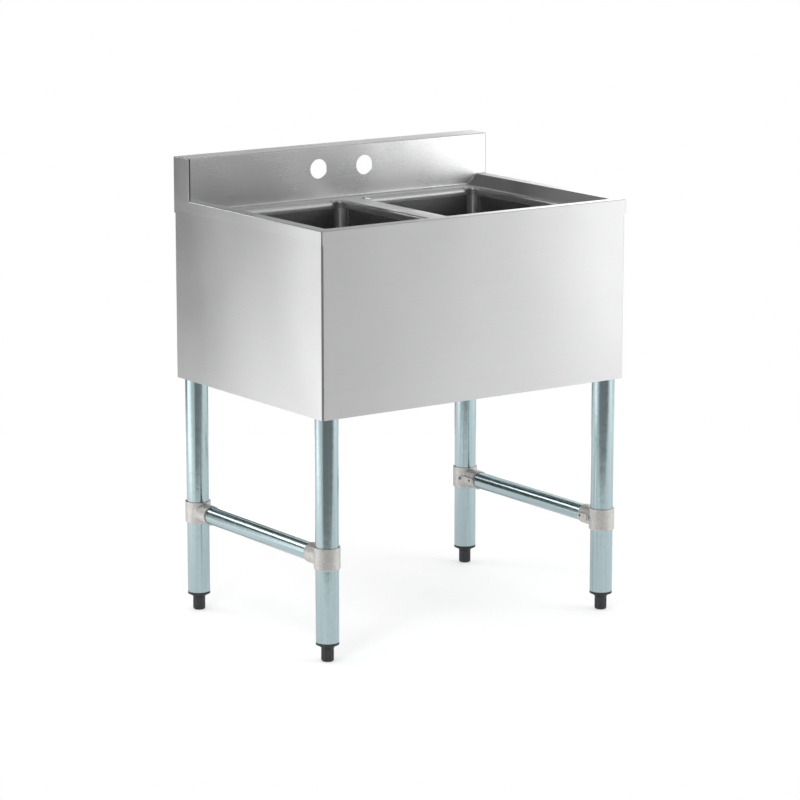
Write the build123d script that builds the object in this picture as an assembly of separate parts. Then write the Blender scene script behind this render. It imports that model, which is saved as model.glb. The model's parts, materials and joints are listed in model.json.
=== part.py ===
from build123d import *
import os
from math import atan2, cos, radians, sin, sqrt, tan

# Two-bowl underbar sink, in millimetres. The floor is z = 0, the front faces -Y, and x = 0 is
# midway between the bowls. The origin is below the middle of the whole object.

# Sheet metal
sheet = 1.2
edge_bend = 2.0
slope_bend = 3.0
mitre_bend = 6.0
hem_height = 10.0
weld_gap = 0.3

# Bowls
bowl_width = 254.0
bowl_length = 355.6
bowl_depth = 254.0
bowl_corner = 19.0
divider = 46.0
floor_fall = 3.0
lip_depth = 14.0
side_roll = 4.0
back_roll = 10.0

# Rim, deck and splash
rim_height = 762.0
deck_drop = 19.0
rim_flat_side = 22.0
rim_flat_front = 20.6
slope_run_side = 22.0
slope_run_front = 11.0
bead_strip_side = 9.2
bead_strip_front = 6.25
back_strip = 22.0
skirt_height = 25.4
splash_rise = 76.2
splash_depth = 50.8
splash_cove = 3.0
splash_foot = 2.0
splash_hem = 13.0
splash_seam = 0.8
splash_end_edge = 0.7

# Faucet holes
faucet_spacing = 101.6
faucet_hole_diameter = 36.2
faucet_hole_rise = 37.0

# Apron and side panels
panel_setback = 1.8
panel_corner = 2.5
panel_corner_gap = 0.9
front_flange = 14.0
rear_flange = 18.0
apron_cover = 4.0

# Leg rails and leg sockets
rail_thickness = 2.0
rail_width = 60.0
rail_side_flange = 30.0
rail_inner_flange = 15.0
rail_bowl_gap = 2.3
rail_end_gap = 2.0
socket_length = 40.0
socket_wall = 1.5
socket_clearance = 0.25
socket_screw_rise = 14.0

# Legs and braces
leg_diameter = 41.3
leg_wall = 1.5
leg_end_height = 35.0
leg_side_gap = 1.8
leg_front_gap = 1.7
leg_back_gap = 3.0
brace_diameter = 31.75
brace_wall = 1.2
left_brace_height = 185.0
right_brace_height = 171.0

# Clamps between the legs and the braces
clamp_clearance = 0.35
clamp_wall = 2.3
clamp_arm_wall = 1.9
clamp_length = 40.0
clamp_reach = 49.0
clamp_edge = 2.5
clamp_end_edge = 1.0
clamp_blend = 3.0
brace_end_gap = 1.2
boss_width = 12.0
boss_rise = 1.8
boss_start = 20.0
clamp_screw_reach = 40.0
clamp_screw_turn = 60.0
set_screw_diameter = 6.35
set_screw_length = 4.0
set_screw_key = 3.2
set_screw_clearance = 0.05
set_screw_tip_gap = 0.1

# Foot inserts and levelling feet
insert_clearance = 0.15
insert_depth = 48.0
insert_flange = 4.5
insert_shoulder = 1.8
insert_neck = 1.5
insert_tip_height = 25.5
insert_tip_diameter = 25.0
foot_diameter = 22.4
foot_gap = 0.3
foot_travel = 25.0
foot_shank_diameter = 12.0
foot_engagement = 19.0
foot_shank_clearance = 0.08
foot_groove_count = 12
foot_groove_depth = 0.9
foot_bottom_edge = 3.0
foot_bore_end = 2.3

# Basket strainers
drain_diameter = 88.9
drain_recess_depth = 2.5
drain_recess_margin = 1.5
strainer_flange_diameter = 114.0
strainer_flange_thickness = 2.2
strainer_flange_edge = 0.9
strainer_clearance = 1.4
strainer_wall = 3.0
strainer_depth = 46.0
strainer_seat_depth = 6.0
strainer_seat_run = 3.4
strainer_cone = 10.0
outlet_diameter = 47.6
outlet_wall = 3.4
outlet_length = 20.0
gasket_thickness = 3.0
washer_thickness = 1.5
ring_clearance = 0.3
nut_height = 12.0
nut_diameter = 104.0
nut_lug_count = 6
nut_lug_width = 12.0
nut_lug_reach = 5.0
nut_clearance = 0.05

# Lift-out baskets
basket_gap = 0.3
basket_side_gap = 3.0
basket_sheet = 0.8
basket_depth = 34.0
basket_corner = 6.0
basket_hole_diameter = 6.0
basket_hole_count = 12
basket_floor_hole_count = 8
basket_floor_hole_circle = 44.0
basket_post_diameter = 6.0
basket_knob_diameter = 20.0
basket_knob_height = 9.0
basket_post_rise = 22.0
stopper_gap = 0.1
stopper_height = 5.0
stopper_edge = 3.0

# Places that follow from the sizes
side_margin = rim_flat_side + slope_run_side + bead_strip_side
front_margin = rim_flat_front + slope_run_front + bead_strip_front
back_margin = back_roll + back_strip + splash_depth
width = 2 * bowl_width + divider + 2 * side_margin
depth = front_margin + bowl_length + back_margin
half_width = width / 2
front = -depth / 2
back = depth / 2
splash_face = back - splash_depth
deck_height = rim_height - deck_drop
rim_underside = rim_height - sheet
splash_top = rim_height + splash_rise
skirt_bottom = rim_height - skirt_height
lip_bottom = deck_height - lip_depth
bowl_front = front + front_margin
bowl_back = bowl_front + bowl_length
bowl_middle_x = divider / 2 + bowl_width / 2
bowl_middle_y = (bowl_front + bowl_back) / 2
slope_foot_x = half_width - rim_flat_side - slope_run_side
bowl_floor = deck_height - bowl_depth
recess_floor = bowl_floor - floor_fall - drain_recess_depth
bowl_underside = recess_floor - sheet
rail_top = bowl_underside - rail_bowl_gap
rail_underside = rail_top - rail_thickness
socket_mouth = rail_underside - socket_length
panel_bottom = socket_mouth - apron_cover
panel_top = rim_underside - weld_gap
panel_outer = half_width - panel_setback
panel_inner = panel_outer - sheet
apron_outer = front + panel_setback
apron_inner = apron_outer + sheet
flange_inner = apron_inner + sheet
leg_radius = leg_diameter / 2
socket_inner_radius = leg_radius + socket_clearance
socket_radius = socket_inner_radius + socket_wall
leg_x = panel_inner - leg_side_gap - socket_radius
leg_front_y = apron_inner + leg_front_gap + socket_radius
leg_back_y = back - leg_back_gap - socket_radius
leg_places = {
    "front_left": (-leg_x, leg_front_y),
    "front_right": (leg_x, leg_front_y),
    "rear_left": (-leg_x, leg_back_y),
    "rear_right": (leg_x, leg_back_y),
}
foot_top = insert_tip_height - foot_gap
foot_shank_length = foot_travel + foot_engagement
brace_heights = {"left": left_brace_height, "right": right_brace_height}
sides = {"left": -1, "right": 1}


def block(x, y, z):
    """A box between two corners: x, y and z are pairs of limits."""
    size = [abs(pair[1] - pair[0]) for pair in (x, y, z)]
    middle = [(pair[0] + pair[1]) / 2 for pair in (x, y, z)]
    return Pos(*middle) * Box(*size)


def rod(radius, start, end):
    """A cylinder from start to end, each an x, y, z point."""
    start = Vector(*start)
    end = Vector(*end)
    place = Plane(origin=start, z_dir=end - start)
    return place * Cylinder(radius, (end - start).length, align=(Align.CENTER, Align.CENTER, Align.MIN))


def edges_at(shape, test):
    """The edges whose middle point passes the test."""
    return [edge for edge in shape.edges() if test(edge @ 0.5)]


def turned(points):
    """A solid of revolution about Z from radius and height points in order."""
    with BuildPart() as made:
        with BuildSketch(Plane.XZ):
            with BuildLine():
                Polyline(*points, close=True)
            make_face()
        revolve(axis=Axis.Z)
    return made.part


def near(a, b, tolerance=0.05):
    return abs(a - b) < tolerance


# Sink top: one sheet folded into the skirt, the marine rim, the slopes and the deck, with the
# bowl openings rolled down into short lips.


def bowl_cavity(middle_x, inset, low, high):
    """The inside of a bowl as a rounded upright block, grown by inset."""
    made = block(
        (middle_x - bowl_width / 2 - inset, middle_x + bowl_width / 2 + inset),
        (bowl_front - inset, bowl_back + inset),
        (low, high),
    )
    return fillet(made.edges().filter_by(Axis.Z), bowl_corner + inset)


def back_roll_cut(middle_x, inset):
    """What the large roll behind a bowl takes off: it runs between the bowl's upright corners."""
    half = bowl_width / 2 - bowl_corner + inset
    deck = deck_height - inset
    wall = bowl_back + inset
    centre_y = bowl_back + back_roll
    centre_z = deck_height - back_roll
    corner = block((middle_x - half, middle_x + half), (wall - 1, centre_y), (centre_z, deck + 1))
    start = (middle_x - half - 1, centre_y, centre_z)
    end = (middle_x + half + 1, centre_y, centre_z)
    core = rod(back_roll - inset, start, end)
    return corner - core


def top_form(inset):
    """The sink top as a filled form. The sheet lies between the form and the one inset by it."""
    side_lean = tan(atan2(deck_drop, slope_run_side) / 2) * inset
    front_lean = tan(atan2(deck_drop, slope_run_front) / 2) * inset
    top = rim_height - inset
    deck = deck_height - inset
    low = lip_bottom - inset
    made = block((-half_width + inset, half_width - inset), (front + inset, splash_face), (low, top))
    corners = edges_at(made, lambda p: near(p.Y, front + inset) and near(abs(p.X), half_width - inset))
    made = fillet(corners, panel_corner - inset)
    rim_edges = edges_at(
        made, lambda p: near(p.Z, top) and p.Y < splash_face - 1
    )
    made = fillet(rim_edges, edge_bend - inset)
    # The tray between the slopes is cut as a tapered block that runs out past the splash.
    past = splash_face + 40
    top_x = half_width - rim_flat_side + side_lean
    top_y = front + rim_flat_front - front_lean
    foot_x = top_x - slope_run_side
    foot_y = top_y + slope_run_front
    rise = 5.0
    grow = 1 + rise / deck_drop
    outer_x = foot_x + slope_run_side * grow
    outer_y = foot_y - slope_run_front * grow
    lower = Pos(0, (foot_y + past) / 2, deck) * Rectangle(2 * foot_x, past - foot_y)
    upper = Pos(0, (outer_y + past) / 2, top + rise) * Rectangle(2 * outer_x, past - outer_y)
    tray = loft([lower, upper], ruled=True)
    valleys = edges_at(
        tray,
        lambda p: near(p.Y, (foot_y + outer_y) / 2, 1) and near(abs(p.X), (foot_x + outer_x) / 2, 1),
    )
    tray = fillet(valleys, mitre_bend + inset)
    foot = edges_at(tray, lambda p: near(p.Z, deck) and p.Y < past - 1)
    tray = fillet(foot, slope_bend + inset)
    made -= tray
    rim_inner = edges_at(
        made,
        lambda p: near(p.Z, top) and abs(p.X) < top_x + 0.5 and top_y - 0.5 < p.Y < splash_face - 1,
    )
    made = fillet(rim_inner, edge_bend - inset)
    for middle_x in (-bowl_middle_x, bowl_middle_x):
        made -= bowl_cavity(middle_x, inset, low - 1, top + 1)
        made -= back_roll_cut(middle_x, inset)
    rolls = edges_at(
        made,
        lambda p: near(p.Z, deck) and bowl_front - inset - 0.1 < p.Y < bowl_back + inset + 0.1
        and divider / 2 - inset - 0.1 < abs(p.X) < divider / 2 + bowl_width + inset + 0.1,
    )
    return fillet(rolls, side_roll - inset)


def sink_top():
    made = top_form(0) - top_form(sheet)
    # Below the skirt only the bowl lips go on down.
    lips_y = front + rim_flat_front + slope_run_front
    splash_start = splash_face - splash_cove - splash_foot
    below = block((-width, width), (-depth, depth), (lip_bottom - 5, skirt_bottom))
    keep = block((-slope_foot_x, slope_foot_x), (lips_y, splash_start), (lip_bottom, skirt_bottom + 1))
    made -= below - keep
    made -= block((-width, width), (-depth, depth), (lip_bottom - 5, lip_bottom))
    # The deck ends where the foot of the splash begins.
    foot = block((-slope_foot_x, slope_foot_x), (splash_start, back), (lip_bottom, deck_height + 0.2))
    return made - foot


def folded(points, radii, side, plane, length):
    """A folded sheet: its face line with the bends, thickened to one side and drawn out."""
    with BuildPart() as made:
        with BuildSketch(plane):
            with BuildLine():
                FilletPolyline(*points, radius=radii)
                offset(amount=sheet, side=side)
            make_face()
        extrude(amount=length)
    return made.part


def backsplash():
    """Cove, face, top return and rear hem, with the two faucet holes."""
    foot = (splash_face - splash_cove - splash_foot, deck_height)
    rise = [
        (splash_face, splash_top),
        (back, splash_top),
        (back, splash_top - splash_hem),
    ]
    across = half_width - sheet - weld_gap
    middle_plane = Plane(origin=(-slope_foot_x, 0, 0), x_dir=(0, 1, 0), z_dir=(1, 0, 0))
    made = folded(
        [foot, (splash_face, deck_height)] + rise,
        [splash_cove, edge_bend, edge_bend],
        Side.RIGHT,
        middle_plane,
        2 * slope_foot_x,
    )
    for start in (-across, slope_foot_x):
        plane = Plane(origin=(start, 0, 0), x_dir=(0, 1, 0), z_dir=(1, 0, 0))
        made += folded(
            [(splash_face, deck_height - sheet)] + rise,
            [edge_bend, edge_bend],
            Side.RIGHT,
            plane,
            across - slope_foot_x,
        )
    # The lower corners are notched round the side panels.
    for side in (-1, 1):
        made -= block(
            (side * (panel_inner - weld_gap), side * width),
            (splash_face - 1, splash_face + sheet + 1),
            (0, rim_underside + weld_gap),
        )
        made -= block(
            (side * (half_width - sheet - splash_seam), side * width),
            (splash_face - 1, splash_face + sheet + 1),
            (rim_underside, splash_top - edge_bend - sheet),
        )
        hole = side * faucet_spacing / 2
        height = rim_height + faucet_hole_rise
        start = (hole, splash_face - 5, height)
        end = (hole, splash_face + 5, height)
        made -= rod(faucet_hole_diameter / 2, start, end)
    return made


def splash_end(side):
    """The flat plate that closes an end of the splash and carries on as the skirt."""
    made = block(
        (side * (half_width - sheet), side * half_width),
        (splash_face, back),
        (skirt_bottom, splash_top),
    )
    outer = edges_at(
        made,
        lambda p: near(abs(p.X), half_width) and (near(p.Z, splash_top) or near(p.Y, back)),
    )
    made = fillet(outer, splash_end_edge)
    # Above the rim the front edge is rounded too. Below it the plate meets the skirt flush.
    x = side * (half_width - splash_end_edge)
    y = splash_face + splash_end_edge
    corner = block((x, side * width), (splash_face - 1, y), (rim_height, splash_top + 1))
    return made - (corner - rod(splash_end_edge, (x, y, rim_height), (x, y, splash_top + 1)))


# Bowls: open tubs with round corners, a round cove to the floor and a floor that falls to the
# drain from its four sides.


def bowl_form(middle_x, inset, top):
    low = bowl_floor - inset
    made = bowl_cavity(middle_x, inset, low, top)
    bottom = edges_at(made, lambda p: near(p.Z, low))
    made = fillet(bottom, bowl_corner + inset - 0.2)
    flat = Plane.XY.offset(low + 0.01) * Pos(middle_x, bowl_middle_y)
    dish = Plane.XY.offset(low - floor_fall) * Pos(middle_x, bowl_middle_y)
    recess_radius = strainer_flange_diameter / 2 + drain_recess_margin + inset
    square = 2 * recess_radius + 4
    room = 2 * bowl_corner + 2
    fall = loft(
        [flat * Rectangle(bowl_width - room, bowl_length - room), dish * Rectangle(square, square)],
        ruled=True,
    )
    recess = rod(
        recess_radius,
        (middle_x, bowl_middle_y, low - floor_fall - drain_recess_depth),
        (middle_x, bowl_middle_y, low),
    )
    return made + fall + recess


def bowl(side):
    middle_x = side * bowl_middle_x
    made = bowl_form(middle_x, sheet, lip_bottom) - bowl_form(middle_x, 0, lip_bottom + 1)
    hole = rod(
        drain_diameter / 2,
        (middle_x, bowl_middle_y, bowl_underside - 5),
        (middle_x, bowl_middle_y, bowl_floor),
    )
    return made - hole


# Apron and side panels


def front_apron():
    across = panel_outer - panel_corner - panel_corner_gap
    hem_across = panel_outer - front_flange - 1
    made = block((-across, across), (apron_outer, apron_inner), (panel_bottom, panel_top))
    hem = block(
        (-hem_across, hem_across),
        (apron_inner, apron_inner + sheet),
        (panel_bottom, panel_bottom + hem_height),
    )
    return made + hem


def side_panel(side):
    """Side sheet with a flange behind the apron, a rear flange and a safe edge folded in."""
    plane = Plane(origin=(0, 0, panel_bottom), x_dir=(1, 0, 0), z_dir=(0, 0, 1))
    made = folded(
        [
            (-panel_outer + front_flange, apron_inner),
            (-panel_outer, apron_inner),
            (-panel_outer, back),
            (-panel_outer + rear_flange, back),
        ],
        [panel_corner, edge_bend],
        Side.RIGHT,
        plane,
        panel_top - panel_bottom,
    )
    made += block(
        (-panel_inner, -panel_inner + sheet),
        (apron_inner + front_flange, back - rear_flange),
        (panel_bottom, panel_bottom + hem_height),
    )
    return made if side < 0 else mirror(made, about=Plane.YZ)


# Frame under the bowls: a folded rail on each side carries two leg sockets.


def leg_rail(side):
    start = flange_inner + rail_end_gap
    end = back - sheet - rail_end_gap
    plane = Plane(origin=(0, end, 0), x_dir=(1, 0, 0), z_dir=(0, -1, 0))
    with BuildPart() as made:
        with BuildSketch(plane):
            with BuildLine():
                FilletPolyline(
                    (-panel_inner, rail_top + rail_side_flange),
                    (-panel_inner, rail_underside),
                    (-panel_inner + rail_width, rail_underside),
                    (-panel_inner + rail_width, rail_underside - rail_inner_flange),
                    radius=[2 * rail_thickness, rail_thickness],
                )
                offset(amount=rail_thickness, side=Side.LEFT)
            make_face()
        extrude(amount=end - start)
    return made.part if side < 0 else mirror(made.part, about=Plane.YZ)


def leg_socket(place):
    """A short tube under the rail with a boss for its set screw on the inward side."""
    x, y = place
    inward = -1 if x > 0 else 1
    height = socket_mouth + socket_screw_rise
    made = rod(socket_radius, (x, y, socket_mouth), (x, y, rail_underside))
    made += rod(boss_width / 2, (x, y, height), (x + inward * (socket_radius + boss_rise), y, height))
    made -= rod(socket_inner_radius, (x, y, socket_mouth - 1), (x, y, rail_underside + 1))
    made -= rod(
        set_screw_diameter / 2 + set_screw_clearance,
        (x, y, height),
        (x + inward * (socket_radius + boss_rise + 5), y, height),
    )
    return made


def leg_tube(place):
    x, y = place
    made = rod(leg_radius, (x, y, leg_end_height), (x, y, rail_underside))
    return made - rod(leg_radius - leg_wall, (x, y, leg_end_height - 1), (x, y, rail_underside + 1))


def set_screw(surface, direction):
    """A short screw with a hexagon socket, its tip just off the tube that it holds."""
    tip = Vector(*surface) + Vector(*direction) * set_screw_tip_gap
    plane = Plane(origin=tip, z_dir=Vector(*direction))
    made = plane * Cylinder(
        set_screw_diameter / 2,
        set_screw_length,
        align=(Align.CENTER, Align.CENTER, Align.MIN),
    )
    key = plane.offset(set_screw_length / 2) * RegularPolygon(set_screw_key / sqrt(3), 6)
    return made - extrude(key, set_screw_length, dir=Vector(*direction))


# Braces and their clamps


def clamp(place, height):
    """A cast tee: a collar round the leg and a socket for the brace, with a boss for the screw."""
    x, y = place
    inward = -1 if x > 0 else 1
    along = 1 if y < 0 else -1
    collar_radius = leg_radius + clamp_clearance + clamp_wall
    arm_radius = brace_diameter / 2 + clamp_clearance + clamp_arm_wall
    half = clamp_length / 2
    made = rod(collar_radius, (0, 0, -half), (0, 0, half))
    made = fillet(edges_at(made, lambda p: near(p.Z, -half)), clamp_edge)
    made += rod(arm_radius, (0, 0, 0), (0, clamp_reach, 0))
    joint = edges_at(made, lambda p: 1 < p.Y < clamp_reach - 1 and near(abs(p.X), 0, collar_radius))
    joint = [edge for edge in joint if edge.geom_type not in (GeomType.LINE, GeomType.CIRCLE)]
    made = fillet(joint, clamp_blend)
    made = chamfer(edges_at(made, lambda p: near(p.Y, clamp_reach)), clamp_end_edge)
    boss = block(
        (0, arm_radius + boss_rise),
        (boss_start, clamp_reach - clamp_end_edge),
        (-boss_width / 2, boss_width / 2),
    )
    outer = edges_at(boss, lambda p: near(p.X, arm_radius + boss_rise))
    made += fillet(outer, boss_rise * 0.8)
    turn = Rot(0, 0, 90 - clamp_screw_turn)
    made += turn * rod(boss_width / 2, (0, 0, 0), (collar_radius + boss_rise / 2, 0, 0))
    made -= rod(leg_radius + clamp_clearance, (0, 0, -half - 1), (0, 0, half + 1))
    made -= rod(brace_diameter / 2 + clamp_clearance, (0, 0, 0), (0, clamp_reach + 1, 0))
    hole = set_screw_diameter / 2 + set_screw_clearance
    made -= turn * rod(hole, (0, 0, 0), (2 * collar_radius, 0, 0))
    made -= rod(hole, (0, clamp_screw_reach, 0), (2 * arm_radius, clamp_screw_reach, 0))
    if along < 0:
        made = mirror(made, about=Plane.XZ)
    if inward < 0:
        made = mirror(made, about=Plane.YZ)
    return Pos(x, y, height) * made


def brace_tube(side, height):
    """A level tube from the front clamp to the rear clamp of one side."""
    x = side * leg_x
    stand_off = leg_radius + clamp_clearance + clamp_wall + brace_end_gap
    start = (x, leg_front_y + stand_off, height)
    end = (x, leg_back_y - stand_off, height)
    made = rod(brace_diameter / 2, start, end)
    return made - rod(brace_diameter / 2 - brace_wall, (x, start[1] - 1, height), (x, end[1] + 1, height))


# Foot inserts and levelling feet


def foot_insert(place):
    """Plastic plug in the leg end, with a flange, a tapered nose and a bore for the foot."""
    plug = leg_radius - leg_wall - insert_clearance
    bore = foot_shank_diameter / 2 + foot_shank_clearance
    flange_bottom = leg_end_height - insert_flange
    top = leg_end_height + insert_depth
    bore_top = foot_top + foot_shank_length + foot_bore_end
    made = turned([
        (bore, insert_tip_height),
        (insert_tip_diameter / 2, insert_tip_height),
        (insert_tip_diameter / 2 + insert_neck / 2, insert_tip_height + insert_neck),
        (leg_radius - insert_shoulder, flange_bottom - insert_shoulder / 2),
        (leg_radius, flange_bottom),
        (leg_radius, leg_end_height),
        (plug, leg_end_height),
        (plug, top - 2),
        (plug - 2, top),
        (0, top),
        (0, bore_top),
        (bore, bore_top),
    ])
    return Pos(*place, 0) * made


def levelling_foot(place):
    """Bullet foot: a grooved stem with a round nose, on a shank that screws into the insert."""
    radius = foot_diameter / 2
    top = foot_top
    made = rod(radius, (0, 0, 0), (0, 0, top))
    made = fillet(edges_at(made, lambda p: near(p.Z, 0)), foot_bottom_edge)
    reach = radius + foot_groove_depth
    groove = rod(2 * foot_groove_depth, (reach, 0, foot_bottom_edge + 1), (reach, 0, top - 3))
    for index in range(foot_groove_count):
        made -= Rot(0, 0, index * 360 / foot_groove_count) * groove
    made += rod(foot_shank_diameter / 2, (0, 0, top - 1), (0, 0, top + foot_shank_length))
    return Pos(*place, 0) * made


# Basket strainers under the bowls

flange_top = recess_floor + strainer_flange_thickness
strainer_radius = drain_diameter / 2 - strainer_clearance
strainer_bore = strainer_radius - strainer_wall
strainer_bottom = flange_top - strainer_depth
outlet_radius = outlet_diameter / 2
outlet_bore = outlet_radius - outlet_wall
outlet_end = strainer_bottom - strainer_cone - outlet_length


def strainer_body(side):
    """Flange, cup and threaded outlet in one turned piece."""
    made = turned([
        (strainer_flange_diameter / 2, recess_floor),
        (strainer_flange_diameter / 2, flange_top - strainer_flange_edge),
        (strainer_flange_diameter / 2 - strainer_flange_edge, flange_top),
        (strainer_bore + strainer_seat_run, flange_top),
        (strainer_bore, flange_top - strainer_seat_depth),
        (strainer_bore, strainer_bottom),
        (outlet_bore, strainer_bottom - strainer_cone),
        (outlet_bore, outlet_end),
        (outlet_radius, outlet_end),
        (outlet_radius, strainer_bottom - strainer_cone - strainer_wall / 2),
        (strainer_radius, strainer_bottom - strainer_wall / 2),
        (strainer_radius, recess_floor),
    ])
    return Pos(side * bowl_middle_x, bowl_middle_y, 0) * made


def strainer_ring(side, outer, low, high, clearance):
    """A flat ring round the strainer's body."""
    x = side * bowl_middle_x
    made = rod(outer, (x, bowl_middle_y, low), (x, bowl_middle_y, high))
    return made - rod(strainer_radius + clearance, (x, bowl_middle_y, low - 1), (x, bowl_middle_y, high + 1))


def strainer_nut(side, high):
    """The big lock nut, with lugs to tap it round."""
    x = side * bowl_middle_x
    outer = nut_diameter / 2
    made = strainer_ring(side, outer, high - nut_height, high, nut_clearance)
    tip = outer + nut_lug_reach
    low = high - nut_height
    lug = block((outer - 1.5, tip), (-nut_lug_width / 2, nut_lug_width / 2), (low, high))
    lug = fillet(edges_at(lug, lambda p: near(p.X, tip) and near(p.Z, (low + high) / 2)), 2)
    for index in range(nut_lug_count):
        made += Pos(x, bowl_middle_y, 0) * Rot(0, 0, index * 360 / nut_lug_count) * lug
    return made


# Lift-out baskets

basket_floor = flange_top - basket_depth
basket_radius = strainer_bore - basket_side_gap


def basket_cup(side):
    """Perforated cup whose flared rim rests in the strainer's seat."""
    slope = strainer_seat_depth / sqrt(strainer_seat_depth**2 + strainer_seat_run**2)
    flare = strainer_bore - basket_gap / slope
    neck = flange_top - strainer_seat_depth
    made = turned([
        (0, basket_floor),
        (basket_radius - basket_corner, basket_floor),
        (basket_radius, basket_floor + basket_corner),
        (basket_radius, neck - 2),
        (flare, neck),
        (flare + strainer_seat_run, flange_top),
        (flare + strainer_seat_run - basket_sheet / slope, flange_top),
        (flare - basket_sheet, neck + 0.4),
        (basket_radius - basket_sheet, neck - 1.6),
        (basket_radius - basket_sheet, basket_floor + basket_corner + 0.4),
        (basket_radius - basket_corner - 0.4, basket_floor + basket_sheet),
        (0, basket_floor + basket_sheet),
    ])
    middle = (basket_floor + basket_corner + neck) / 2
    hole = rod(basket_hole_diameter / 2, (0, 0, middle), (2 * basket_radius, 0, middle))
    for index in range(basket_hole_count):
        made -= Rot(0, 0, index * 360 / basket_hole_count) * hole
    hole = rod(
        basket_hole_diameter / 2,
        (basket_floor_hole_circle / 2, 0, basket_floor - 1),
        (basket_floor_hole_circle / 2, 0, basket_floor + 2),
    )
    for index in range(basket_floor_hole_count):
        made -= Rot(0, 0, index * 360 / basket_floor_hole_count) * hole
    made -= rod(basket_post_diameter / 2, (0, 0, basket_floor - 1), (0, 0, basket_floor + 2))
    return Pos(side * bowl_middle_x, bowl_middle_y, 0) * made


def basket_post(side):
    """Stem and knob in the middle of the basket, with the stopper's collar below."""
    knob_low = basket_floor + basket_post_rise
    knob_high = knob_low + basket_knob_height
    knob_radius = basket_knob_diameter / 2
    post_radius = basket_post_diameter / 2
    low = basket_floor - stopper_gap - stopper_height
    made = turned([
        (0, low),
        (post_radius, low),
        (post_radius, knob_low),
        (knob_radius - 1, knob_low),
        (knob_radius, knob_low + 1),
        (knob_radius, knob_high - basket_knob_height / 2),
        (knob_radius / 2, knob_high),
        (0, knob_high),
    ])
    return Pos(side * bowl_middle_x, bowl_middle_y, 0) * made


def basket_stopper(side):
    """Rubber disc on the post that closes the outlet when the basket is pressed down."""
    high = basket_floor - stopper_gap
    low = high - stopper_height
    radius = outlet_bore + stopper_edge
    post_radius = basket_post_diameter / 2
    made = turned([
        (post_radius, low),
        (radius - stopper_height / 2, low),
        (radius, low + stopper_height / 2),
        (radius, high),
        (post_radius, high),
    ])
    return Pos(side * bowl_middle_x, bowl_middle_y, 0) * made


def build():
    """Every piece by its name."""
    pieces = {"sink_top": sink_top(), "backsplash": backsplash(), "front_apron": front_apron()}
    for name, side in sides.items():
        pieces[name + "_splash_end"] = splash_end(side)
        pieces[name + "_bowl"] = bowl(side)
        pieces[name + "_side_panel"] = side_panel(side)
        pieces[name + "_leg_rail"] = leg_rail(side)
        pieces[name + "_brace"] = brace_tube(side, brace_heights[name])
        gasket_low = bowl_underside - gasket_thickness
        washer_low = gasket_low - washer_thickness
        flange_radius = strainer_flange_diameter / 2
        pieces[name + "_strainer_body"] = strainer_body(side)
        gasket = strainer_ring(side, flange_radius, gasket_low, bowl_underside, ring_clearance)
        washer = strainer_ring(side, flange_radius - 2, washer_low, gasket_low, ring_clearance)
        pieces[name + "_strainer_gasket"] = gasket
        pieces[name + "_strainer_washer"] = washer
        pieces[name + "_strainer_nut"] = strainer_nut(side, washer_low)
        pieces[name + "_basket_cup"] = basket_cup(side)
        pieces[name + "_basket_post"] = basket_post(side)
        pieces[name + "_basket_stopper"] = basket_stopper(side)
    socket_screws = []
    clamp_screws = []
    turn = radians(clamp_screw_turn)
    for name, place in leg_places.items():
        x, y = place
        inward = -1 if x > 0 else 1
        along = 1 if y < 0 else -1
        height = brace_heights["left" if x < 0 else "right"]
        pieces[name + "_leg_socket"] = leg_socket(place)
        pieces[name + "_leg"] = leg_tube(place)
        pieces[name + "_clamp"] = clamp(place, height)
        pieces[name + "_foot_insert"] = foot_insert(place)
        pieces[name + "_levelling_foot"] = levelling_foot(place)
        level = (inward, 0, 0)
        aside = (inward * sin(turn), along * cos(turn), 0)
        leg_side = (x + leg_radius * aside[0], y + leg_radius * aside[1], height)
        brace_side = (x + inward * brace_diameter / 2, y + along * clamp_screw_reach, height)
        socket_side = (x + inward * leg_radius, y, socket_mouth + socket_screw_rise)
        socket_screws.append(set_screw(socket_side, level))
        clamp_screws.append(set_screw(leg_side, aside))
        clamp_screws.append(set_screw(brace_side, level))
    pieces["leg_socket_screws"] = Compound(socket_screws)
    pieces["clamp_screws"] = Compound(clamp_screws)
    return pieces


os.makedirs("parts", exist_ok=True)
for name, piece in build().items():
    export_step(piece, "parts/" + name + ".step")
    print(name, round(sum(solid.volume for solid in piece.solids())))
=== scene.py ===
# %% [markdown]
# # Two-bowl underbar sink
#
# This notebook dresses a small stainless underbar sink that stands on four galvanised legs.
# The solid parts come from a fixed frame in metres: the floor is z = 0, the front faces -Y, and
# x = 0 is midway between the bowls. Nothing in that frame is moved here. The steps add a camera,
# a plain studio, the finishes, and the fine pieces that a solid model leaves out.

# %% Load the frame
import json
import math
import bpy
from mathutils import Matrix, Vector


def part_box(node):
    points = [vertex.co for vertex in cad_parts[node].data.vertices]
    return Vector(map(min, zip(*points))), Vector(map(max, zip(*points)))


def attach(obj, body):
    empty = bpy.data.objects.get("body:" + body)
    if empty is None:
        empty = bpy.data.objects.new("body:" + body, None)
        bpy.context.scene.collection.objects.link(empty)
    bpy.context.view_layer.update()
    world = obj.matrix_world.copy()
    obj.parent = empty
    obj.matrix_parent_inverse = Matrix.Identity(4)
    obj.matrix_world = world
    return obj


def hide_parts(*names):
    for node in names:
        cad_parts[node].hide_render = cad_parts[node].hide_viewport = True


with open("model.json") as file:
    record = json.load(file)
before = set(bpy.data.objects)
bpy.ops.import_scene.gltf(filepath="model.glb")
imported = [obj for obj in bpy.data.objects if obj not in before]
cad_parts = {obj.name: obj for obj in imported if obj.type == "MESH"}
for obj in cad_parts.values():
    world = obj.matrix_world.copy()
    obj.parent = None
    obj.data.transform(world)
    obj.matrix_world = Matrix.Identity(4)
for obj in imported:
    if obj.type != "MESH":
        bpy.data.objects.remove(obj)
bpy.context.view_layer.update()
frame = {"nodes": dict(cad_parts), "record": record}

nodes = frame["nodes"]


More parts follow.
